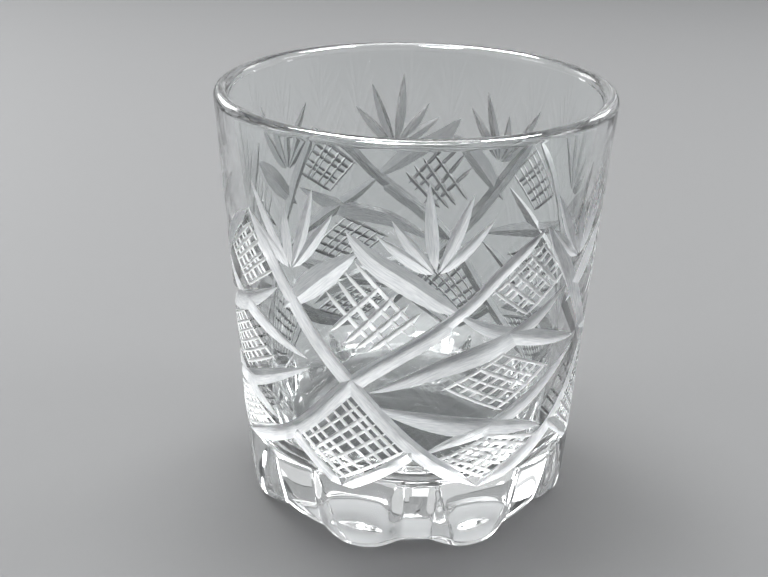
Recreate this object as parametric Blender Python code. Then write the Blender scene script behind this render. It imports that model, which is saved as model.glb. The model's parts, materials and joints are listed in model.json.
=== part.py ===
"""A cut-crystal whiskey tumbler: one piece of clear glass, modelled at its real size in metres, +Z up.

The frame's origin is the middle of the foot, on the surface that the glass stands on. The glass is a
turned body with a rounded lip, a thick base and eight flutes pressed into its foot. Wheel cuts run
round its wall four times over: long mitres that cross, leaf cuts beside them, and a zigzag of mitres
over the foot. Angles go round the glass from -Y towards +X, and a place on the wall is an angle and
a height.
"""

import math

import bmesh
import bpy
from mathutils import Vector

MM = 0.001

# Driving dimensions, in millimetres
HEIGHT = 90.0
RIM_DIAMETER = 81.0
LIP_THICKNESS = 3.0
BASE_THICKNESS = 14.0
FLOOR_WALL_THICKNESS = 5.0
FOOT_RADIUS = 35.2
FOOT_EDGE_RADIUS = 0.8
WALL_FOOT_HEIGHT = 15.0
WALL_FOOT_RADIUS = 37.0
WALL_BULGE = -0.15
CAVITY_CORNER_RADIUS = 10.0
FLOOR_DOME = 0.8
PUNT_RADIUS = 24.0
PUNT_DEPTH = 1.2

# Flutes in the foot: two kinds take turns round it. Each has a flat middle and straight sides that open
# out downwards, given in degrees, and a short shoulder at its top.
FLUTE_PHASE = 4.5
FLUTE_TOP = 19.3
SHOULDER_Z = 17.6
SHOULDER_SHARE = 0.22
NARROW_FLUTE = {"middle": 5.0, "side": 8.0, "depth": 4.1}
WIDE_FLUTE = {"middle": 9.5, "side": 7.5, "depth": 3.2}
ALIGNED_TOP = 26.0

# Wheel cuts
LONG_CUT_FADE = 12.0
CUTTER_RISE = 0.5
TIP_RISE = 0.06
STATION = 4.5
REPEATS = 4

LIP_STEPS = 6
WALL_ROWS = 3
GLASS_COLOUR = (0.93, 0.96, 0.97, 1.0)

RIM_RADIUS = RIM_DIAMETER / 2
LIP_RADIUS = LIP_THICKNESS / 2


def wall_radius(z):
    """Outer radius of the uncut body at a height: a rounded foot below a nearly straight, flaring wall."""
    if z >= WALL_FOOT_HEIGHT:
        share = (z - WALL_FOOT_HEIGHT) / (HEIGHT - LIP_RADIUS - WALL_FOOT_HEIGHT)
        flare = (RIM_RADIUS - WALL_FOOT_RADIUS) * share
        return WALL_FOOT_RADIUS + flare + 4 * WALL_BULGE * share * (1 - share)
    drop = (WALL_FOOT_HEIGHT - z) / WALL_FOOT_HEIGHT
    return FOOT_RADIUS + (WALL_FOOT_RADIUS - FOOT_RADIUS) * math.sqrt(max(0.0, 1 - drop**2))


def flute_reach(z):
    """How deep a flute's middle is at a height, as a share of its full depth."""
    slope = 1 - (1 - SHOULDER_SHARE) * z / SHOULDER_Z
    shoulder = SHOULDER_SHARE * (FLUTE_TOP - z) / (FLUTE_TOP - SHOULDER_Z)
    return max(0.0, min(slope, shoulder))


def flute_depth(angle, z):
    """How far the foot is pressed in at an angle in degrees and a height."""
    turn = (angle - FLUTE_PHASE) % 90.0
    near_narrow = turn < 22.5 or turn > 67.5
    flute = NARROW_FLUTE if near_narrow else WIDE_FLUTE
    away = min(turn, 90.0 - turn) if near_narrow else abs(turn - 45.0)
    reach = flute_reach(z)
    side = flute["depth"] / flute["side"] * (flute["middle"] + flute["side"] * reach - away)
    return max(0.0, min(flute["depth"] * reach, side))


def ring_angles(z):
    """Where a ring's vertices stand: on the flutes' creases low down, and evenly round it high up."""
    reach = max(flute_reach(z), 0.3)
    lobe_start = NARROW_FLUTE["middle"] + NARROW_FLUTE["side"] * reach
    lobe_end = 45 - WIDE_FLUTE["middle"] - WIDE_FLUTE["side"] * reach
    marks = [(0.0, 1), (NARROW_FLUTE["middle"], 2), (lobe_start, 3), (lobe_end, 2)]
    marks += [(45 - WIDE_FLUTE["middle"], 2), (45.0, 0)]
    creased = []
    for (start, count), (end, _) in zip(marks, marks[1:]):
        creased += [start + (end - start) * i / count for i in range(count)]
    mix = min(1.0, max(0.0, (z - FLUTE_TOP) / (ALIGNED_TOP - FLUTE_TOP)))
    half = [angle + (45 * i / len(creased) - angle) * mix for i, angle in enumerate(creased)]
    quarter = half + [45.0] + [90 - angle for angle in reversed(half[1:])]
    return [FLUTE_PHASE + 90 * k + angle for k in range(4) for angle in quarter]


def on_wall(angle, z, lift=0.0):
    """The point on the outer wall at an angle in degrees and a height, moved out by lift."""
    radius = wall_radius(z) + lift
    turn = math.radians(angle)
    return Vector((radius * math.sin(turn), -radius * math.cos(turn), z))


def arc(centre, radius, start, end, steps):
    """Points of an arc as (radius, height) pairs, from one angle in degrees to another."""
    points = []
    for i in range(steps + 1):
        turn = math.radians(start + (end - start) * i / steps)
        points.append((centre[0] + radius * math.cos(turn), centre[1] + radius * math.sin(turn)))
    return points


def outer_profile():
    """The body's outer outline above the foot's edge, bottom to top, ending where the lip starts."""
    foot = [(wall_radius(z), z) for z in (2.5, 5.5, 9.5, 14.0, SHOULDER_Z, FLUTE_TOP)]
    wall = [(wall_radius(z), z) for z in (ALIGNED_TOP, 42.0, 58.0, 74.0, HEIGHT - LIP_RADIUS)]
    return foot + wall


def cavity_profile():
    """The inside, from where the lip ends down the wall, round the corner and to the floor's middle."""
    top = RIM_RADIUS - LIP_THICKNESS
    floor_radius = wall_radius(BASE_THICKNESS) - FLOOR_WALL_THICKNESS
    corner_z = BASE_THICKNESS + CAVITY_CORNER_RADIUS
    wall = []
    for i in range(1, WALL_ROWS):
        share = i / WALL_ROWS
        wall.append((top + (floor_radius - top) * share, HEIGHT + (corner_z - HEIGHT) * share))
    corner_centre = (floor_radius - CAVITY_CORNER_RADIUS, corner_z)
    corner = arc(corner_centre, CAVITY_CORNER_RADIUS, 0, -90, 5)
    half_way = (corner_centre[0] / 2, BASE_THICKNESS + 0.75 * FLOOR_DOME)
    return wall + corner + [half_way]


def punt_profile():
    """The shallow hollow under the base, from near its middle out to the ring that the glass stands on."""
    return [(PUNT_RADIUS / 2, 0.75 * PUNT_DEPTH), (PUNT_RADIUS, 0.0)]


def add_ring(mesh, radius_at, z):
    """One ring of vertices round the axis, with a radius for each angle."""
    ring = []
    for angle in ring_angles(z):
        turn = math.radians(angle)
        radius = radius_at(angle)
        ring.append(mesh.verts.new((radius * math.sin(turn), -radius * math.cos(turn), z)))
    return ring


def make_body():
    """The uncut glass as one closed mesh: rings from the punt, up the outside, over the lip and inside."""
    mesh = bmesh.new()
    rings = []
    for radius, z in punt_profile():
        rings.append(add_ring(mesh, lambda angle, r=radius: r, z))
    for inset, z in arc((0.0, FOOT_EDGE_RADIUS), FOOT_EDGE_RADIUS, -90, 0, 3):
        out = inset - FOOT_EDGE_RADIUS
        rings.append(add_ring(mesh, lambda a, o=out, h=z: wall_radius(h) + o - flute_depth(a, h), z))
    for radius, z in outer_profile():
        rings.append(add_ring(mesh, lambda a, r=radius, h=z: r - flute_depth(a, h), z))
    lip_centre = (RIM_RADIUS - LIP_RADIUS, HEIGHT - LIP_RADIUS)
    for radius, z in arc(lip_centre, LIP_RADIUS, 0, 180, LIP_STEPS)[1:] + cavity_profile():
        rings.append(add_ring(mesh, lambda angle, r=radius: r, z))
    for lower, upper in zip(rings, rings[1:]):
        for i in range(len(lower)):
            j = (i + 1) % len(lower)
            mesh.faces.new((lower[i], lower[j], upper[j], upper[i]))
    punt_middle = mesh.verts.new((0, 0, PUNT_DEPTH))
    floor_middle = mesh.verts.new((0, 0, BASE_THICKNESS + FLOOR_DOME))
    for i in range(len(rings[0])):
        j = (i + 1) % len(rings[0])
        mesh.faces.new((rings[0][j], rings[0][i], punt_middle))
        mesh.faces.new((rings[-1][i], rings[-1][j], floor_middle))
    return mesh


def smooth_path(points):
    """A smooth line through a few (angle, height) points, with a station about every STATION millimetres."""
    line = [points[0]]
    last = len(points) - 1
    for k in range(last):
        p1, p2 = points[k], points[k + 1]
        p0 = points[k - 1] if k > 0 else (2 * p1[0] - p2[0], 2 * p1[1] - p2[1])
        p3 = points[k + 2] if k + 2 <= last else (2 * p2[0] - p1[0], 2 * p2[1] - p1[1])
        steps = max(1, round((on_wall(*p2) - on_wall(*p1)).length / STATION))
        for i in range(1, steps + 1):
            t = i / steps
            place = []
            for a, b, c, d in zip(p0, p1, p2, p3):
                cubic = (2 * b) + (c - a) * t + (2 * a - 5 * b + 4 * c - d) * t**2
                place.append(0.5 * (cubic + (3 * b - a - 3 * c + d) * t**3))
            line.append(tuple(place))
    return line


def long_cut_depth(share):
    """Depth of a mitre along its length: full, and fading out at both ends."""
    return min(1.0, LONG_CUT_FADE * share, LONG_CUT_FADE * (1 - share)) - TIP_RISE


def leaf_cut_depth(share):
    """Depth of a leaf along its length: nothing at its tips and full in its middle."""
    return math.sin(math.pi * share) ** 0.8 - TIP_RISE


def make_v_cutter(name, line, size, depth_at):
    """A V-section bar that follows a line on the wall, left to right, with its edge under the surface.

    Its size is the depth of the cut and how far the cut reaches above and below its edge.
    """
    depth, above, below = size
    mesh = bmesh.new()
    sections = []
    places = [on_wall(angle, z) for angle, z in line]
    for i, (angle, z) in enumerate(line):
        ahead = places[min(i + 1, len(line) - 1)]
        behind = places[max(i - 1, 0)]
        along = (ahead - behind).normalized()
        out = (on_wall(angle, z, 1.0) - places[i]).normalized()
        up_side = out.cross(along).normalized()
        cut = depth * depth_at(i / (len(line) - 1))
        reach = (cut + CUTTER_RISE) / depth
        edge = places[i] - out * cut
        top = places[i] + out * CUTTER_RISE
        corners = (edge, top + up_side * above * reach, top - up_side * below * reach)
        sections.append([mesh.verts.new(corner * MM) for corner in corners])
    for here, there in zip(sections, sections[1:]):
        for i in range(3):
            j = (i + 1) % 3
            mesh.faces.new((here[i], here[j], there[j], there[i]))
    mesh.faces.new(list(reversed(sections[0])))
    mesh.faces.new(sections[-1])
    bmesh.ops.recalc_face_normals(mesh, faces=mesh.faces)
    data = bpy.data.meshes.new(name)
    mesh.to_mesh(data)
    mesh.free()
    cutter = bpy.data.objects.new(name, data)
    cutter.hide_render = True
    cutter.display_type = "WIRE"
    return cutter


def cut_pattern():
    """One quarter of the pattern: (name, points from left to right, size) for the mitres and the leaves."""
    left_mitre = [(-51.5, 72.0), (-28.0, 49.6), (-17.0, 41.0), (3.0, 26.5), (23.0, 16.5)]
    right_mitre = [(-67.0, 16.5), (-38.0, 26.5), (-17.0, 41.0), (-5.0, 47.6), (14.0, 57.0), (38.5, 71.5)]
    mitres = [
        ("left_mitre", left_mitre, (1.3, 1.5, 1.7)),
        ("right_mitre", right_mitre, (1.35, 1.1, 2.2)),
        ("zigzag_left", [(-39.0, 26.5), (-30.0, 21.6), (-20.0, 16.2)], (1.1, 1.3, 1.5)),
        ("zigzag_right", [(-20.0, 16.2), (-9.0, 20.6), (3.0, 26.5)], (1.1, 1.2, 1.5)),
    ]
    leaves = [
        ("chevron_left", [(-38.0, 54.5), (-24.0, 65.2), (-14.0, 69.4)], (1.1, 2.5, 2.5)),
        ("chevron_right", [(-17.2, 72.6), (-10.0, 67.4), (14.5, 56.6)], (1.1, 2.3, 2.9)),
        ("leaf_rising", [(-11.5, 39.3), (5.0, 45.3), (28.0, 50.5), (50.0, 57.6)], (1.25, 0.9, 4.4)),
        ("leaf_crossing", [(12.5, 57.0), (28.0, 51.2), (60.0, 44.0)], (1.0, 1.7, 2.2)),
        ("leaf_falling", [(-10.5, 36.6), (15.0, 33.4), (28.0, 31.3), (47.0, 26.5)], (1.25, 0.9, 4.4)),
        ("leaf_low_crossing", [(4.5, 25.6), (20.0, 29.6), (28.0, 31.2), (61.0, 42.5)], (1.0, 1.7, 2.2)),
    ]
    return mitres, leaves


def make_cutters():
    """Every wheel cut's cutter, in one collection: the quarter pattern repeated round the wall."""
    cutters = bpy.data.collections.new("wheel_cuts")
    bpy.context.scene.collection.children.link(cutters)
    for cuts, depth_at in zip(cut_pattern(), (long_cut_depth, leaf_cut_depth)):
        for name, points, size in cuts:
            line = smooth_path(points)
            for quarter in range(REPEATS):
                turned = [(angle + 360 / REPEATS * quarter, z) for angle, z in line]
                cutters.objects.link(make_v_cutter(f"{name}_{quarter + 1}", turned, size, depth_at))
    return cutters


def crystal_material():
    """Clear lead crystal."""
    material = bpy.data.materials.new("clear_crystal")
    material.use_nodes = True
    shader = material.node_tree.nodes["Principled BSDF"]
    shader.inputs["Base Color"].default_value = GLASS_COLOUR
    shader.inputs["Metallic"].default_value = 0.0
    shader.inputs["Roughness"].default_value = 0.05
    shader.inputs["IOR"].default_value = 1.54
    shader.inputs["Transmission Weight"].default_value = 1.0
    return material


def make_tumbler():
    """The glass: the turned body, with the wheel cuts taken out of it."""
    mesh = make_body()
    bmesh.ops.scale(mesh, vec=(MM, MM, MM), verts=mesh.verts)
    bmesh.ops.recalc_face_normals(mesh, faces=mesh.faces)
    data = bpy.data.meshes.new("tumbler_glass")
    mesh.to_mesh(data)
    mesh.free()
    data.shade_smooth()
    data.set_sharp_from_angle(angle=math.radians(30))
    data.materials.append(crystal_material())
    tumbler = bpy.data.objects.new("tumbler_glass", data)
    bpy.context.scene.collection.objects.link(tumbler)
    cut = tumbler.modifiers.new("wheel_cuts", "BOOLEAN")
    cut.operation = "DIFFERENCE"
    cut.solver = "EXACT"
    cut.operand_type = "COLLECTION"
    cut.collection = make_cutters()
    return tumbler


for old in list(bpy.data.objects):
    bpy.data.objects.remove(old)
make_tumbler()
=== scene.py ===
import json
import math
import random

import bmesh
import bpy
from mathutils import Matrix, Vector

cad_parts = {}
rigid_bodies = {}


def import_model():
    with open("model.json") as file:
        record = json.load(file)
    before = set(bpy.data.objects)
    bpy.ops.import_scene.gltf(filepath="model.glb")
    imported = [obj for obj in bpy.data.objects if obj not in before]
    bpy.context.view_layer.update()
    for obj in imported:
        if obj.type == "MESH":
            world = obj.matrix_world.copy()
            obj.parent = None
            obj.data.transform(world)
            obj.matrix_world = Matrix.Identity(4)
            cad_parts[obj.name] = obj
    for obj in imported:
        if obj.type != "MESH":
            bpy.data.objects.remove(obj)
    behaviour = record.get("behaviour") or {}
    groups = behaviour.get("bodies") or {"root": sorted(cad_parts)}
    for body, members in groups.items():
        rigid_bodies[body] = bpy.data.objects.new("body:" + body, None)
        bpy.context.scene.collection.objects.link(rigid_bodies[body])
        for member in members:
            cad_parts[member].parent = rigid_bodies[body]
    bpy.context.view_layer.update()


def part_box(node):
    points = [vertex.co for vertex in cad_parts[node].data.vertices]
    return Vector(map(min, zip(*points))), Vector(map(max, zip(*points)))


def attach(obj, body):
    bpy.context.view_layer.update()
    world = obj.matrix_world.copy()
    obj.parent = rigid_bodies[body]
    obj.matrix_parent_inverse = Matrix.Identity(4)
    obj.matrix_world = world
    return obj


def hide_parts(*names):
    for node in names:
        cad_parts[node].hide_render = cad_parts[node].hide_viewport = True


# The visual model of a cut-crystal whiskey tumbler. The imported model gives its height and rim
# diameter. Everything else is in millimetres, apart from the stage and its lights, which are in
# metres. A place on the wall is an angle in degrees, from -Y towards +X, and a height. The cut
# pattern is given for one quarter of the wall, and repeats four times round it.

MM = 0.001
SEGMENTS = 240  # vertices in a ring
NODE = "tumbler_glass"

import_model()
LOW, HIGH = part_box(NODE)
HEIGHT = (HIGH.z - LOW.z) / MM
RIM_RADIUS = (HIGH.x - LOW.x) / 2 / MM

# The turned body
LIP_THICKNESS = 3.0
LIP_RADIUS = LIP_THICKNESS / 2
LIP_START = HEIGHT - LIP_RADIUS
RING_BELOW_LIP = 0.3  # a ring this close below the lip keeps the lip's roundness off the wall
BASE_THICKNESS = 14.0
WALL_FOOT_THICKNESS = 5.0  # of the wall at the bottom of the drink space
FOOT_RADIUS = 35.2
FOOT_EDGE_RADIUS = 1.4
WALL_FOOT_HEIGHT = 15.0
WALL_FOOT_RADIUS = 37.0
WALL_BULGE = -0.15
CAVITY_CORNER_RADIUS = 10.0
CAVITY_DOME = 0.8  # how far the drink space's bottom rises towards its middle
PUNT_RADIUS = 24.0  # the punt is the hollow under the base
PUNT_DEPTH = 1.2
STAGE_GAP = 0.05  # between the foot and the stage's floor

# Flutes pressed into the foot: two kinds take turns round it, 45 degrees apart. Each has a flat
# middle, straight sides that open out downwards, and a short shoulder at its top. A flute's middle is
# half the width of its flat, and its side the width of one side at the foot's underside, both in
# degrees. Its depth is taken there too.
FLUTE_PHASE = 4.5
FLUTE_TOP = 19.3
SHOULDER_Z = 17.6
SHOULDER_SHARE = 0.22
SHOULDER_ROUNDING = 0.06
NARROW_FLUTE = {"middle": 5.0, "side": 8.0, "depth": 4.1}
WIDE_FLUTE = {"middle": 9.5, "side": 7.5, "depth": 3.2}
CREASE_ROUNDING = 0.5
LOBE_CROWN = 0.9
CREASE_STEP = 0.8  # degrees from a crease to the vertices on either side of it
EVEN_FROM = 26.0  # height from which a ring's vertices are evenly spaced

# Wheel cuts
REPEATS = 4
CUTTER_RISE = 0.35  # how far a cutter stands out of the wall
CUTTER_LIFT = 0.03  # how much less deep a cutter is than its cut's depth, so that its ends come out
STATION = 2.0  # the spacing of a cutter's sections
LINE_WIDTH, LINE_DEPTH = 0.95, 0.48
GRID_LINE_WIDTH, GRID_LINE_DEPTH = 1.3, 0.6
LINE_ABOVE, LINE_BELOW = 0.38, 0.62  # shares of the width above and below the deepest line
LINE_SLIP = (0.5, 0.25)  # how far a fine line's ends stray, in degrees and in millimetres
LINE_SIZES = (0.75, 1.15)  # between which a fine line's size varies
SPACING_SLIP = 0.16  # how far a fine line strays from even spacing, as a share of it
RAY_WIDTH = 2.7
RAY_ABOVE, RAY_BELOW = 0.34, 0.66

# Finishes, in the order of the mesh's material slots
POLISHED, SATIN, FINE = "polished_crystal", "satin_cut", "fine_cut"
FINISHES = (POLISHED, SATIN, FINE)
CRYSTAL_IOR = 1.54
SHARP_ANGLE = 16  # degrees between two faces from which the edge between them is crisp

# Lights, in metres, watts and degrees. Each key is a name, an angle round the glass and a power, and
# each glow is an angle and a brightness. A further panel is a name, an angle round the glass, an angle
# above the foot, a size and a brightness. Each soft box is a name, a place, a size and a power.
AIM = (0, 0, 0.05)
KEY_RISE, KEY_DISTANCE, KEY_SIZE = 62, 1.08, (0.35, 0.35)
KEYS = (("key_front", -25, 21), ("key_right", 105, 13), ("key_back", 215, 15))
PANEL_RISE, PANEL_DISTANCE, PANEL_SIZE = 18, 1.2, (1.0, 0.62)
PANEL_GLOWS = ((0, 0.3), (50, 0.35), (95, 0.2), (135, 0.6), (180, 0.45), (225, 0.6), (310, 0.35))
EXTRA_PANELS = (("high_panel", 180, 47, (1.3, 0.6), 0.25), ("side_panel", 275, 30, (1.0, 0.8), 0.5))
TOP_PLACE, TOP_SIZE = (-0.1, 0.25, 0.95), (0.7, 0.5)
TOP_POWER, FILL_POWER = 2.4, 3.2
SIDE_BOXES = (
    ("back_left_box", (-0.6, 0.75, 0.45), (0.4, 0.3), 1.4),
    ("back_right_box", (0.65, 0.7, 0.5), (0.3, 0.3), 1.1),
    ("left_box", (-0.85, -0.1, 0.35), (0.3, 0.25), 0.8),
    ("right_box", (0.85, 0.0, 0.4), (0.3, 0.25), 0.8),
)

# The stage's floor, which reaches this far each way, and the bright patch on it behind the foot
FLOOR_REACH = 4.0
FLOOR_COLOUR = (0.44, 0.443, 0.447, 1)
PATCH_PLACE = 0.046
PATCH_RADIUS = 0.026
PATCH_LAMP_HEIGHT = 0.5
PATCH_POWER = 4.5

# The world's grey from the horizon, and all below it, to straight up: (upward part, grey)
WORLD_BANDS = ((0.0, 0.11), (0.1, 0.1), (0.3, 0.05), (0.6, 0.08), (1.0, 0.2))

# The camera, in millimetres and degrees
CAMERA_DISTANCE = 208.3
CAMERA_HEIGHT = 141.2
CAMERA_PITCH = 25.0
CAMERA_YAW = -1.58
CAMERA_ROLL = 0.92
CAMERA_LENS = 48.9


def wall_radius(z):
    """Outer radius of the uncut body at a height."""
    if z >= WALL_FOOT_HEIGHT:
        share = (z - WALL_FOOT_HEIGHT) / (LIP_START - WALL_FOOT_HEIGHT)
        flare = (RIM_RADIUS - WALL_FOOT_RADIUS) * share
        return WALL_FOOT_RADIUS + flare + 4 * WALL_BULGE * share * (1 - share)
    drop = (WALL_FOOT_HEIGHT - z) / WALL_FOOT_HEIGHT
    return FOOT_RADIUS + (WALL_FOOT_RADIUS - FOOT_RADIUS) * math.sqrt(max(0.0, 1 - drop**2))


def soft_least(a, b, rounding):
    """The smaller of two lengths, with the corner between them rounded."""
    share = min(1.0, max(0.0, 0.5 + 0.5 * (b - a) / rounding))
    return b + (a - b) * share - rounding * share * (1 - share)


def flute_reach(z):
    """How deep a flute's middle is at a height, as a share of its full depth."""
    slope = 1 - (1 - SHOULDER_SHARE) * z / SHOULDER_Z
    shoulder = SHOULDER_SHARE * (FLUTE_TOP - z) / (FLUTE_TOP - SHOULDER_Z)
    return max(0.0, soft_least(slope, shoulder, SHOULDER_ROUNDING))


def flute_depth(angle, z):
    """How far the foot is pressed in at an angle and a height. The lobes between are crowned."""
    if z >= FLUTE_TOP + 1:
        return 0.0
    reach = flute_reach(z)
    turn = (angle - FLUTE_PHASE) % 90.0
    turn = min(turn, 90.0 - turn)
    lobe_start = NARROW_FLUTE["middle"] + NARROW_FLUTE["side"] * reach
    lobe_end = 45.0 - WIDE_FLUTE["middle"] - WIDE_FLUTE["side"] * reach
    crown = min(1.0, max(-1.0, 2 * (turn - lobe_start) / (lobe_end - lobe_start) - 1))
    lobe = LOBE_CROWN * reach * crown**2
    near_narrow = turn < 22.5
    flute = NARROW_FLUTE if near_narrow else WIDE_FLUTE
    away = turn if near_narrow else 45.0 - turn
    middle = flute["depth"] * reach
    edge = flute["middle"] + flute["side"] * reach
    rise = (flute["depth"] - LOBE_CROWN) / flute["side"] * (edge - away)
    side = lobe - soft_least(0.0, -rise, CREASE_ROUNDING)
    return max(0.0, soft_least(middle, side, CREASE_ROUNDING))


def ring_angles(z):
    """Where a ring's vertices stand: evenly spaced high up, and along the flutes' creases low down."""
    steps = SEGMENTS // 8
    even = [45 * i / steps for i in range(steps)]
    reach = max(flute_reach(z), 0.3)
    lobe_start = NARROW_FLUTE["middle"] + NARROW_FLUTE["side"] * reach
    lobe_end = 45 - WIDE_FLUTE["middle"] - WIDE_FLUTE["side"] * reach
    creases = [(NARROW_FLUTE["middle"], 2), (lobe_start, 7)]
    creases += [(lobe_end, 2), (45 - WIDE_FLUTE["middle"], 8)]
    marks = [(0.0, 3)]
    for crease, steps_on in creases:
        marks += [(crease - CREASE_STEP, 1), (crease, 1), (crease + CREASE_STEP, steps_on)]
    marks.append((45.0, 0))
    close = []
    for (start, count), (end, _) in zip(marks, marks[1:]):
        close += [start + (end - start) * i / count for i in range(count)]
    mix = min(1.0, max(0.0, (z - FLUTE_TOP) / (EVEN_FROM - FLUTE_TOP)))
    half = [c + (e - c) * mix for c, e in zip(close, even)]
    quarter = half + [45.0] + [90 - angle for angle in reversed(half[1:])]
    return [FLUTE_PHASE + 90 * k + angle for k in range(4) for angle in quarter]


def outer_radius(angle, z):
    """Outer radius of the uncut glass, flutes included."""
    return wall_radius(z) - flute_depth(angle, z)


def on_wall(angle, z, lift=0.0):
    """The point on the uncut wall at an angle and a height, moved out by lift."""
    radius = wall_radius(z) + lift
    turn = math.radians(angle)
    return Vector((radius * math.sin(turn), -radius * math.cos(turn), z))


def arc(centre, radius, start, end, steps):
    """Points of an arc as (radius, height) pairs, from one angle in degrees to another."""
    points = []
    for i in range(steps + 1):
        turn = math.radians(start + (end - start) * i / steps)
        points.append((centre[0] + radius * math.cos(turn), centre[1] + radius * math.sin(turn)))
    return points


def spaced(start, end, step):
    """Values from start to end, evenly spaced and about a step apart, both ends included."""
    count = max(1, round(abs(end - start) / step))
    return [start + (end - start) * i / count for i in range(count + 1)]


def add_ring(mesh, radius_at, z):
    """One ring of vertices round the axis, with a radius for each angle."""
    ring = []
    for angle in ring_angles(z):
        turn = math.radians(angle)
        radius = radius_at(angle)
        ring.append(mesh.verts.new((radius * math.sin(turn), -radius * math.cos(turn), z)))
    return ring


def cavity_profile():
    """The inside, from where the lip ends down the wall, round the corner and to the floor's middle."""
    top = RIM_RADIUS - LIP_THICKNESS
    floor_radius = wall_radius(BASE_THICKNESS) - WALL_FOOT_THICKNESS
    corner_z = BASE_THICKNESS + CAVITY_CORNER_RADIUS
    wall = []
    for z in [LIP_START - RING_BELOW_LIP] + spaced(LIP_START, corner_z, 4.0)[1:-1]:
        share = (z - HEIGHT) / (corner_z - HEIGHT)
        wall.append((top + (floor_radius - top) * share, z))
    corner_centre = (floor_radius - CAVITY_CORNER_RADIUS, corner_z)
    corner = arc(corner_centre, CAVITY_CORNER_RADIUS, 0, -90, 14)
    floor = []
    for share in (0.85, 0.7, 0.55, 0.4, 0.25, 0.1):
        floor.append((corner_centre[0] * share, BASE_THICKNESS + CAVITY_DOME * (1 - share**2)))
    return wall + corner + floor


def make_body():
    """The uncut glass as one closed mesh: rings from under the base, up the outside and over the lip to
    the inside."""
    mesh = bmesh.new()
    rings = []
    for share in (0.1, 0.3, 0.5, 0.7, 0.85, 1.0):
        radius = PUNT_RADIUS * share
        rings.append(add_ring(mesh, lambda angle, r=radius: r, PUNT_DEPTH * (1 - share**2)))
    for inset, z in arc((0.0, FOOT_EDGE_RADIUS), FOOT_EDGE_RADIUS, -90, 0, 6):
        out = inset - FOOT_EDGE_RADIUS
        rings.append(add_ring(mesh, lambda a, o=out, h=z: outer_radius(a, h) + o, z))
    foot_heights = spaced(FOOT_EDGE_RADIUS, SHOULDER_Z - 1, 1.2)[1:]
    shoulder_heights = spaced(SHOULDER_Z - 1, FLUTE_TOP + 1, 0.35)[1:]
    wall_heights = spaced(FLUTE_TOP + 1, EVEN_FROM, 1.5)[1:] + spaced(EVEN_FROM, LIP_START, 3.0)[1:]
    wall_heights.insert(-1, LIP_START - RING_BELOW_LIP)
    for z in foot_heights + shoulder_heights + wall_heights:
        rings.append(add_ring(mesh, lambda a, h=z: outer_radius(a, h), z))
    lip_centre = (RIM_RADIUS - LIP_RADIUS, LIP_START)
    for radius, z in arc(lip_centre, LIP_RADIUS, 0, 180, 16)[1:] + cavity_profile():
        rings.append(add_ring(mesh, lambda angle, r=radius: r, z))
    for lower, upper in zip(rings, rings[1:]):
        for i in range(SEGMENTS):
            j = (i + 1) % SEGMENTS
            mesh.faces.new((lower[i], lower[j], upper[j], upper[i]))
    punt_middle = mesh.verts.new((0, 0, PUNT_DEPTH))
    floor_middle = mesh.verts.new((0, 0, BASE_THICKNESS + CAVITY_DOME))
    for i in range(SEGMENTS):
        j = (i + 1) % SEGMENTS
        mesh.faces.new((rings[0][j], rings[0][i], punt_middle))
        mesh.faces.new((rings[-1][i], rings[-1][j], floor_middle))
    return mesh


# ---- the wheel cuts ----


def smooth_path(points):
    """A smooth line through a few (angle, height) points, with points about STATION apart."""
    if len(points) == 2:
        start, end = points
        middle = ((start[0] + end[0]) / 2, (start[1] + end[1]) / 2)
        points = [start, middle, end]
    line = [points[0]]
    last = len(points) - 1
    for k in range(last):
        p1, p2 = points[k], points[k + 1]
        p0 = points[k - 1] if k > 0 else (2 * p1[0] - p2[0], 2 * p1[1] - p2[1])
        p3 = points[k + 2] if k + 2 <= last else (2 * p2[0] - p1[0], 2 * p2[1] - p1[1])
        length = (on_wall(*p2) - on_wall(*p1)).length
        steps = max(1, round(length / STATION))
        for i in range(1, steps + 1):
            t = i / steps
            place = []
            for a, b, c, d in zip(p0, p1, p2, p3):
                quadratic = (2 * b) + (c - a) * t + (2 * a - 5 * b + 4 * c - d) * t**2
                place.append(0.5 * (quadratic + (3 * b - a - 3 * c + d) * t**3))
            line.append(tuple(place))
    return line


def bar_depth(share):
    """Depth along a mitre: full, and fading out close to both ends."""
    return min(1.0, 10 * share, 10 * (1 - share))


def blunt_depth(share):
    """Depth along a mitre that stops short at its first end and fades out at its last."""
    return min(1.0, 0.3 + 25 * share, 10 * (1 - share))


def leaf_depth(share):
    """Depth along a leaf: nothing at its tips and full in its middle."""
    return math.sin(math.pi * share) ** 0.75


def ray_depth(share):
    """Depth along a fan's ray: deepest near its root, and drawn out to a point."""
    return math.sin(math.pi * share**0.8) ** 0.9


class Cut:
    """One stroke of a wheel: its path on the wall, its depth, how far it reaches above and below its
    deepest line, how its depth runs along it, and its finish."""

    def __init__(self, points, depth, above, below, depth_at, finish=SATIN):
        self.line = smooth_path(points)
        self.depth = depth
        self.above = above
        self.below = below
        self.depth_at = depth_at
        self.finish = finish


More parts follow.
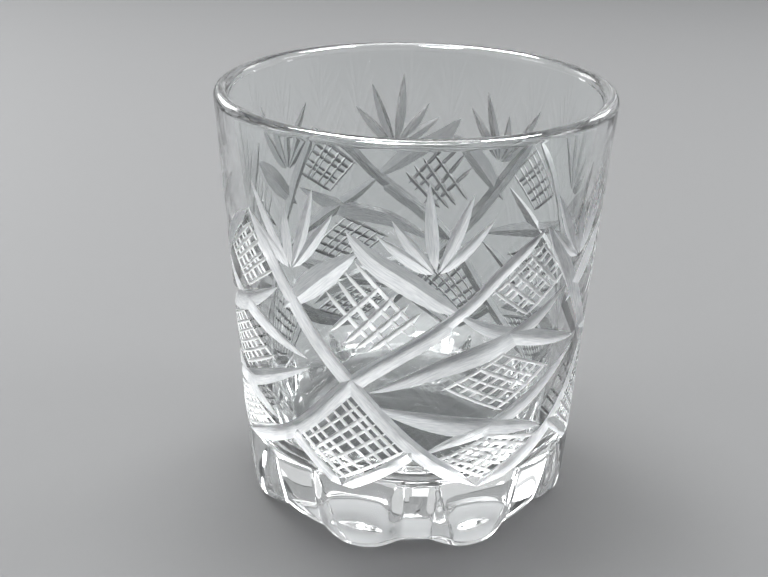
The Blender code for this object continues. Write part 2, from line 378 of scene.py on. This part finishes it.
def add_cutter(mesh, cut, turn):
    """A V-section bar along the cut's path, turned round the glass, with its edge under the surface."""
    grain = mesh.loops.layers.uv.new("grain")
    line = [(angle + turn, z) for angle, z in cut.line]
    shares = [i / (len(line) - 1) for i in range(len(line))]
    if line[0][0] > line[-1][0]:
        line.reverse()
        shares.reverse()
    places = [on_wall(angle, z) for angle, z in line]
    sections = []
    run = 0.0
    for i, (angle, z) in enumerate(line):
        ahead = places[min(i + 1, len(line) - 1)]
        behind = places[max(i - 1, 0)]
        along = (ahead - behind).normalized()
        out = (on_wall(angle, z, 1.0) - places[i]).normalized()
        up_side = out.cross(along).normalized()
        depth = cut.depth * cut.depth_at(shares[i]) - CUTTER_LIFT
        edge = places[i] - out * depth
        top = places[i] + out * CUTTER_RISE
        reach = (depth + CUTTER_RISE) / cut.depth
        above, below = cut.above * reach, cut.below * reach
        if i > 0:
            run += (places[i] - places[i - 1]).length
        corners = ((edge, 0.0), (top + up_side * above, above), (top - up_side * below, -below))
        sections.append([(mesh.verts.new(corner), (run, across)) for corner, across in corners])
    for here, there in zip(sections, sections[1:]):
        for i in range(3):
            j = (i + 1) % 3
            corners = (here[i], here[j], there[j], there[i])
            face = mesh.faces.new([vertex for vertex, _ in corners])
            for loop, (_, place) in zip(face.loops, corners):
                loop[grain].uv = place
    mesh.faces.new([vertex for vertex, _ in reversed(sections[0])])
    mesh.faces.new([vertex for vertex, _ in sections[-1]])


def between(a, b, share):
    """The point a share of the way from a to b."""
    return (a[0] + (b[0] - a[0]) * share, a[1] + (b[1] - a[1]) * share)


def scratch_depth(share):
    """Depth along a fine line: full, with short soft ends."""
    return min(1.0, 6 * share + 0.1, 6 * (1 - share) + 0.1)


def strayed(point, dice):
    """A point moved a little, as a hand-cut line's end is."""
    turn, rise = LINE_SLIP
    return (point[0] + dice.uniform(-turn, turn), point[1] + dice.uniform(-rise, rise))


def fine_line(start, end, dice, width=LINE_WIDTH, depth=LINE_DEPTH):
    """One line of the crosshatching, a little out of true."""
    ends = [strayed(start, dice), strayed(end, dice)]
    size = dice.uniform(*LINE_SIZES)
    width, depth = width * size, depth * size
    return Cut(ends, depth, LINE_ABOVE * width, LINE_BELOW * width, scratch_depth, FINE)


def hatch(left, top, right, bottom, rising, falling, dice):
    """Crosshatching over a four-cornered field: lines that rise to the right and lines that fall."""
    cuts = []
    for i in range(rising):
        share = (i + 0.5 + dice.uniform(-SPACING_SLIP, SPACING_SLIP)) / rising
        cuts.append(fine_line(between(left, bottom, share), between(top, right, share), dice))
    for i in range(falling):
        share = (i + 0.5 + dice.uniform(-SPACING_SLIP, SPACING_SLIP)) / falling
        cuts.append(fine_line(between(left, top, share), between(bottom, right, share), dice))
    return cuts


def fan(base, tips, depth):
    """Pointed rays that spread from one place, each steeper on its upper side."""
    cuts = []
    for turn, rise in tips:
        tip = (base[0] + turn, base[1] + rise)
        root = (base[0] + turn * 0.04, base[1] + rise * 0.04)
        above, below = RAY_ABOVE * RAY_WIDTH, RAY_BELOW * RAY_WIDTH
        cuts.append(Cut([root, tip], depth, above, below, ray_depth))
    return cuts


def long_cuts():
    """The mitres that cross the wall, the zigzag above the foot, and the leaves between them."""
    cuts = []
    left_arm = [(-51.5, 72.0), (-40.0, 61.0), (-28.0, 49.6), (-17.0, 41.0), (3.0, 26.5), (23.0, 16.5)]
    upper_arm = [(38.5, 71.5), (26.0, 65.0), (14.0, 57.0), (-5.0, 47.6), (-17.0, 41.0)]
    lower_arm = [(12.0, 55.9), (4.0, 51.9), (-5.0, 47.6), (-17.0, 41.0), (-38.0, 26.5), (-67.0, 16.5)]
    cuts.append(Cut(left_arm, 1.3, 1.7, 1.8, bar_depth))
    cuts.append(Cut(upper_arm, 1.3, 1.1, 1.7, bar_depth))
    cuts.append(Cut(lower_arm, 1.35, 1.1, 2.6, blunt_depth))

    left_zigzag = [(-39.0, 26.5), (-30.0, 21.6), (-20.0, 16.2)]
    right_zigzag = [(3.0, 26.5), (-9.0, 20.6), (-20.0, 16.2)]
    cuts.append(Cut(left_zigzag, 1.1, 1.3, 1.5, bar_depth))
    cuts.append(Cut(right_zigzag, 1.1, 1.2, 1.5, bar_depth))

    left_leaf = [(-38.5, 53.5), (-31.0, 58.2), (-25.0, 62.0), (-14.0, 68.6)]
    right_leaf = [(-17.2, 72.6), (-10.0, 67.4), (0.0, 63.0), (8.0, 59.2), (14.5, 56.6)]
    cuts.append(Cut(left_leaf, 1.1, 2.7, 2.7, leaf_depth))
    cuts.append(Cut(right_leaf, 1.1, 2.3, 2.9, leaf_depth))

    high_wide = [(-11.5, 39.3), (5.0, 45.3), (15.0, 47.9), (28.0, 50.5), (38.0, 53.5), (50.0, 57.6)]
    high_slim = [(12.5, 57.0), (20.0, 53.8), (28.0, 51.2), (42.0, 48.0), (60.0, 44.0)]
    low_wide = [(-10.5, 36.6), (4.0, 35.0), (15.0, 33.4), (28.0, 31.3), (38.0, 29.3), (47.0, 26.5)]
    low_slim = [(4.5, 25.6), (12.0, 28.0), (20.0, 29.6), (28.0, 31.2), (42.0, 35.8), (61.0, 42.5)]
    for wide, slim in ((high_wide, high_slim), (low_wide, low_slim)):
        cuts.append(Cut(wide, 1.25, 0.9, 4.4, leaf_depth))
        cuts.append(Cut(slim, 1.0, 1.7, 2.2, leaf_depth))
    return cuts


def open_grid(dice):
    """The larger crossing lines under the chevron, each of its own length."""
    falling = [((-23.0, 60.0), (-9.4, 50.4)), ((-20.0, 63.0), (-4.0, 49.3))]
    falling += [((-17.6, 65.0), (-0.5, 52.6)), ((-15.2, 66.6), (1.5, 54.6))]
    rising = [((-22.3, 51.3), (-7.3, 63.0)), ((-18.4, 49.5), (-3.4, 61.3))]
    rising += [((-15.0, 48.6), (0.2, 59.4)), ((-11.2, 48.8), (2.6, 57.4))]
    cuts = []
    for start, end in falling + rising:
        cuts.append(fine_line(start, end, dice, GRID_LINE_WIDTH, GRID_LINE_DEPTH))
    return cuts


def cut_pattern():
    """Every cut of one quarter of the wall."""
    dice = random.Random(7)
    cuts = long_cuts()
    cuts += hatch((-37.0, 26.2), (-17.0, 39.5), (1.5, 26.2), (-20.0, 17.4), 7, 7, dice)
    cuts += hatch((8.5, 41.0), (28.0, 48.0), (47.5, 41.0), (28.0, 33.5), 6, 6, dice)
    cuts += hatch((22.0, 60.5), (38.0, 69.5), (50.0, 61.0), (34.0, 53.5), 6, 6, dice)
    cuts += hatch((6.5, 24.8), (25.0, 29.2), (47.0, 25.0), (23.5, 17.6), 7, 7, dice)
    cuts += open_grid(dice)
    left_tips = [(-14.9, 8.8), (-14.4, 15.7), (-1.0, 12.8), (8.4, 17.7), (14.1, 13.4)]
    right_tips = [(-16.2, 7.8), (-12.2, 11.1), (-2.8, 18.3), (8.8, 16.0), (15.0, 10.7)]
    cuts += fan((-34.5, 62.3), left_tips, 0.8)
    cuts += fan((6.9, 64.7), right_tips, 0.75)
    return cuts


def make_cutters():
    """One mesh object for each cut of the pattern on each quarter, in a collection."""
    cutters = bpy.data.collections.new("wheel_cuts")
    for number, cut in enumerate(cut_pattern()):
        for quarter in range(REPEATS):
            mesh = bmesh.new()
            add_cutter(mesh, cut, 360 / REPEATS * quarter)
            bmesh.ops.scale(mesh, vec=(MM, MM, MM), verts=mesh.verts)
            bmesh.ops.recalc_face_normals(mesh, faces=mesh.faces)
            data = bpy.data.meshes.new(f"cutter_{number}_{quarter}")
            mesh.to_mesh(data)
            mesh.free()
            data.materials.append(bpy.data.materials[cut.finish])
            cutters.objects.link(bpy.data.objects.new(data.name, data))
    return cutters


def angle_of(point):
    """The angle round the glass at which a point stands."""
    return math.degrees(math.atan2(point.x, -point.y))


def wall_normal(point):
    """Outward normal of the uncut outer surface at a point near it, in millimetres."""
    angle, z = angle_of(point), point.z
    step = 0.05
    radius = outer_radius(angle, z)
    round_change = outer_radius(angle + step, z) - outer_radius(angle - step, z)
    round_slope = round_change / (2 * math.radians(step))
    rise_slope = (outer_radius(angle, z + step) - outer_radius(angle, z - step)) / (2 * step)
    turn = math.radians(angle)
    out = Vector((math.sin(turn), -math.cos(turn), 0))
    side = Vector((math.cos(turn), math.sin(turn), 0))
    return (out - side * (round_slope / radius) - Vector((0, 0, rise_slope))).normalized()


def smooth_body_normals(data):
    """Crisp edges round the cuts, and the turned surface's true normals between them."""
    data.shade_smooth()
    data.set_sharp_from_angle(angle=math.radians(SHARP_ANGLE))
    edge_faces = {}
    for face in data.polygons:
        for key in face.edge_keys:
            edge_faces.setdefault(key, []).append(face.material_index)
    sharp = data.attributes.get("sharp_edge")
    if sharp is None:
        sharp = data.attributes.new("sharp_edge", "BOOLEAN", "EDGE")
    for edge in data.edges:
        indices = edge_faces.get(edge.key, [])
        if len(set(indices)) > 1:
            sharp.data[edge.index].value = True
    normals = [Vector(n.vector) for n in data.corner_normals]
    low, high = FOOT_EDGE_RADIUS + 0.05, LIP_START - 0.05
    polished = FINISHES.index(POLISHED)
    for face in data.polygons:
        if face.material_index != polished:
            continue
        centre = face.center / MM
        inside = outer_radius(angle_of(centre), centre.z) - 1.0
        if math.hypot(centre.x, centre.y) < inside:
            continue
        for loop in face.loop_indices:
            point = data.vertices[data.loops[loop].vertex_index].co / MM
            if low < point.z < high:
                normals[loop] = wall_normal(point)
    data.normals_split_custom_set(normals)


def make_tumbler():
    """The glass: the turned body with every wheel cut taken out of it."""
    mesh = make_body()
    mesh.loops.layers.uv.new("grain")
    bmesh.ops.scale(mesh, vec=(MM, MM, MM), verts=mesh.verts)
    bmesh.ops.recalc_face_normals(mesh, faces=mesh.faces)
    data = bpy.data.meshes.new("cut_tumbler")
    mesh.to_mesh(data)
    mesh.free()
    for name in FINISHES:
        data.materials.append(bpy.data.materials[name])
    tumbler = bpy.data.objects.new("cut_tumbler", data)
    bpy.context.scene.collection.objects.link(tumbler)
    cutters = make_cutters()
    bpy.context.scene.collection.children.link(cutters)
    cut = tumbler.modifiers.new("wheel_cuts", "BOOLEAN")
    cut.operation = "DIFFERENCE"
    cut.solver = "MANIFOLD"
    cut.operand_type = "COLLECTION"
    cut.collection = cutters
    bpy.context.view_layer.update()
    graph = bpy.context.evaluated_depsgraph_get()
    finished = bpy.data.meshes.new_from_object(tumbler.evaluated_get(graph))
    tumbler.modifiers.clear()
    tumbler.data = finished
    for cutter in list(cutters.objects):
        bpy.data.objects.remove(cutter)
    bpy.data.collections.remove(cutters)
    smooth_body_normals(finished)
    return tumbler


# ---- materials ----


def glass_material(name, roughness, transmission, colour):
    """Clear crystal with a given polish."""
    material = bpy.data.materials.new(name)
    material.use_nodes = True
    shader = material.node_tree.nodes["Principled BSDF"]
    shader.inputs["Base Color"].default_value = colour
    shader.inputs["Roughness"].default_value = roughness
    shader.inputs["IOR"].default_value = CRYSTAL_IOR
    shader.inputs["Transmission Weight"].default_value = transmission
    return material, shader


def add_bump(material, shader, vector, scale, strength, distance, stretch=(1, 1, 1)):
    """A fine relief from noise."""
    nodes, links = material.node_tree.nodes, material.node_tree.links
    mapping = nodes.new("ShaderNodeMapping")
    mapping.inputs["Scale"].default_value = stretch
    noise = nodes.new("ShaderNodeTexNoise")
    noise.inputs["Scale"].default_value = scale
    noise.inputs["Detail"].default_value = 3.0
    bump = nodes.new("ShaderNodeBump")
    bump.inputs["Strength"].default_value = strength
    bump.inputs["Distance"].default_value = distance
    links.new(vector, mapping.inputs["Vector"])
    links.new(mapping.outputs["Vector"], noise.inputs["Vector"])
    links.new(noise.outputs["Fac"], bump.inputs["Height"])
    links.new(bump.outputs["Normal"], shader.inputs["Normal"])
    return noise


def object_place(material):
    """The object's own coordinates."""
    return material.node_tree.nodes.new("ShaderNodeTexCoord").outputs["Object"]


def grain_place(material):
    """Millimetres along a cut and across it."""
    grain = material.node_tree.nodes.new("ShaderNodeUVMap")
    grain.uv_map = "grain"
    return grain.outputs["UV"]


def tint_streaks(material, shader, noise, dark, light):
    """Streaks of a slightly different grey along a cut."""
    nodes, links = material.node_tree.nodes, material.node_tree.links
    ramp = nodes.new("ShaderNodeValToRGB")
    ramp.color_ramp.elements[0].position = 0.35
    ramp.color_ramp.elements[0].color = dark
    ramp.color_ramp.elements[1].position = 0.65
    ramp.color_ramp.elements[1].color = light
    links.new(noise.outputs["Fac"], ramp.inputs["Fac"])
    links.new(ramp.outputs["Color"], shader.inputs["Base Color"])


def make_materials():
    """Fire-polished crystal for the body, and satin crystal for what the wheels cut."""
    polished, shader = glass_material(POLISHED, 0.01, 1.0, (0.97, 0.985, 0.985, 1.0))
    place = object_place(polished)
    add_bump(polished, shader, place, scale=70.0, strength=0.05, distance=0.0004, stretch=(1, 1, 0.35))
    satin, shader = glass_material(SATIN, 0.38, 0.72, (0.93, 0.945, 0.955, 1.0))
    place = grain_place(satin)
    noise = add_bump(satin, shader, place, scale=1.0, strength=0.5, distance=0.00012, stretch=(0.35, 5, 1))
    tint_streaks(satin, shader, noise, dark=(0.72, 0.74, 0.76, 1), light=(0.97, 0.98, 0.985, 1))
    fine, shader = glass_material(FINE, 0.34, 0.7, (0.95, 0.965, 0.97, 1.0))
    place = grain_place(fine)
    add_bump(fine, shader, place, scale=1.0, strength=0.2, distance=0.00006, stretch=(0.4, 5, 1))


# ---- stage ----


def make_floor():
    """A plain pale floor."""
    mesh = bmesh.new()
    bmesh.ops.create_grid(mesh, x_segments=8, y_segments=8, size=FLOOR_REACH)
    data = bpy.data.meshes.new("floor")
    mesh.to_mesh(data)
    mesh.free()
    floor = bpy.data.objects.new("floor", data)
    floor.location.z = LOW.z - STAGE_GAP * MM
    bpy.context.scene.collection.objects.link(floor)
    material = bpy.data.materials.new("pale_floor")
    material.use_nodes = True
    shader = material.node_tree.nodes["Principled BSDF"]
    shader.inputs["Base Color"].default_value = FLOOR_COLOUR
    shader.inputs["Roughness"].default_value = 0.65
    data.materials.append(material)
    return floor


def add_softbox(name, place, size, power):
    """A soft light that faces the glass."""
    light = bpy.data.lights.new(name, "AREA")
    light.shape = "RECTANGLE"
    light.size, light.size_y = size
    light.energy = power
    lamp = bpy.data.objects.new(name, light)
    lamp.location = place
    lamp.visible_camera = False
    towards = Vector(AIM) - Vector(place)
    lamp.rotation_euler = towards.to_track_quat("-Z", "Y").to_euler()
    bpy.context.scene.collection.objects.link(lamp)
    return lamp


def add_floor_patch(floor_only):
    """A soft bright patch on the floor alone. It is where the view through the foot's front lobes ends,
    so that they look bright, and isn't worked out from how the glass would focus the other lights."""
    light = bpy.data.lights.new("floor_patch", "SPOT")
    light.energy = PATCH_POWER
    light.spot_size = 2 * math.atan(PATCH_RADIUS / PATCH_LAMP_HEIGHT)
    light.spot_blend = 1.0
    light.shadow_soft_size = 0.01
    lamp = bpy.data.objects.new("floor_patch", light)
    lamp.location = (0, PATCH_PLACE, PATCH_LAMP_HEIGHT)
    bpy.context.scene.collection.objects.link(lamp)
    lamp.light_linking.receiver_collection = floor_only
    lamp.light_linking.blocker_collection = floor_only


def make_world():
    """A dim studio with a paler ceiling."""
    world = bpy.data.worlds.new("surround")
    world.use_nodes = True
    nodes, links = world.node_tree.nodes, world.node_tree.links
    place = nodes.new("ShaderNodeTexCoord")
    split = nodes.new("ShaderNodeSeparateXYZ")
    ramp = nodes.new("ShaderNodeValToRGB").color_ramp
    for place_up, _ in WORLD_BANDS[2:]:
        ramp.elements.new(place_up)
    for element, (place_up, grey) in zip(ramp.elements, WORLD_BANDS):
        element.position = place_up
        element.color = (grey, grey * 1.02, grey * 1.05, 1)
    links.new(place.outputs["Generated"], split.inputs["Vector"])
    links.new(split.outputs["Z"], nodes["Color Ramp"].inputs["Fac"])
    links.new(nodes["Color Ramp"].outputs["Color"], nodes["Background"].inputs["Color"])
    bpy.context.scene.world = world


def around(turn, rise, distance):
    """The place at an angle round the glass, an angle above its foot, and a distance away in metres."""
    side, lift = math.radians(turn), math.radians(rise)
    flat = distance * math.cos(lift)
    return (flat * math.sin(side), -flat * math.cos(side), AIM[2] + distance * math.sin(lift))


def make_lights(glass, floor):
    """Soft boxes for the floor and the glass, then keys and panels that light the glass alone."""
    floor_only = bpy.data.collections.new("floor_only")
    floor_only.objects.link(floor)
    add_softbox("top_box", TOP_PLACE, TOP_SIZE, TOP_POWER)
    top_fill = add_softbox("top_fill", TOP_PLACE, TOP_SIZE, FILL_POWER)
    top_fill.light_linking.blocker_collection = floor_only
    add_floor_patch(floor_only)
    for name, place, size, power in SIDE_BOXES:
        add_softbox(name, place, size, power)
    lit = bpy.data.collections.new("lit_by_keys")
    lit.objects.link(glass)
    for name, turn, power in KEYS:
        key = add_softbox(name, around(turn, KEY_RISE, KEY_DISTANCE), KEY_SIZE, power)
        key.light_linking.receiver_collection = lit
    panels = list(EXTRA_PANELS)
    for turn, glow in PANEL_GLOWS:
        panels.append((f"panel_{turn}", turn, PANEL_RISE, PANEL_SIZE, glow))
    for name, turn, rise, size, glow in panels:
        power = math.pi * size[0] * size[1] * glow
        panel = add_softbox(name, around(turn, rise, PANEL_DISTANCE), size, power)
        panel.light_linking.receiver_collection = lit


def make_camera():
    """A camera close in front of the glass, looking down on it at about 25 degrees."""
    pitch, yaw = math.radians(CAMERA_PITCH), math.radians(CAMERA_YAW)
    roll = math.radians(CAMERA_ROLL)
    flat = math.cos(pitch)
    forward = Vector((math.sin(yaw) * flat, math.cos(yaw) * flat, -math.sin(pitch)))
    level = Vector((math.cos(yaw), -math.sin(yaw), 0))
    upright = level.cross(forward)
    right = level * math.cos(roll) + upright * math.sin(roll)
    up = upright * math.cos(roll) - level * math.sin(roll)
    camera = bpy.data.objects.new("camera", bpy.data.cameras.new("camera"))
    camera.data.lens = CAMERA_LENS
    camera.data.clip_start = 0.01
    turn = Matrix((right, up, -forward)).transposed().to_4x4()
    place = Matrix.Translation((0, -CAMERA_DISTANCE * MM, CAMERA_HEIGHT * MM))
    camera.matrix_world = place @ turn
    bpy.context.scene.collection.objects.link(camera)
    bpy.context.scene.camera = camera


def set_look():
    """A contrasty look, and light paths long enough for thick glass. Caustics are off, because over a
    pale floor they turn the glass flat and white."""
    scene = bpy.context.scene
    scene.view_settings.view_transform = "Standard"
    scene.view_settings.look = "High Contrast"
    scene.view_settings.exposure = -0.02
    scene.cycles.max_bounces = 24
    scene.cycles.transmission_bounces = 24
    scene.cycles.glossy_bounces = 12
    scene.cycles.caustics_refractive = False
    scene.cycles.caustics_reflective = False


make_camera()
make_materials()
tumbler = make_tumbler()
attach(tumbler, "root")
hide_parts(NODE)
floor = make_floor()
make_world()
make_lights(tumbler, floor)
set_look()
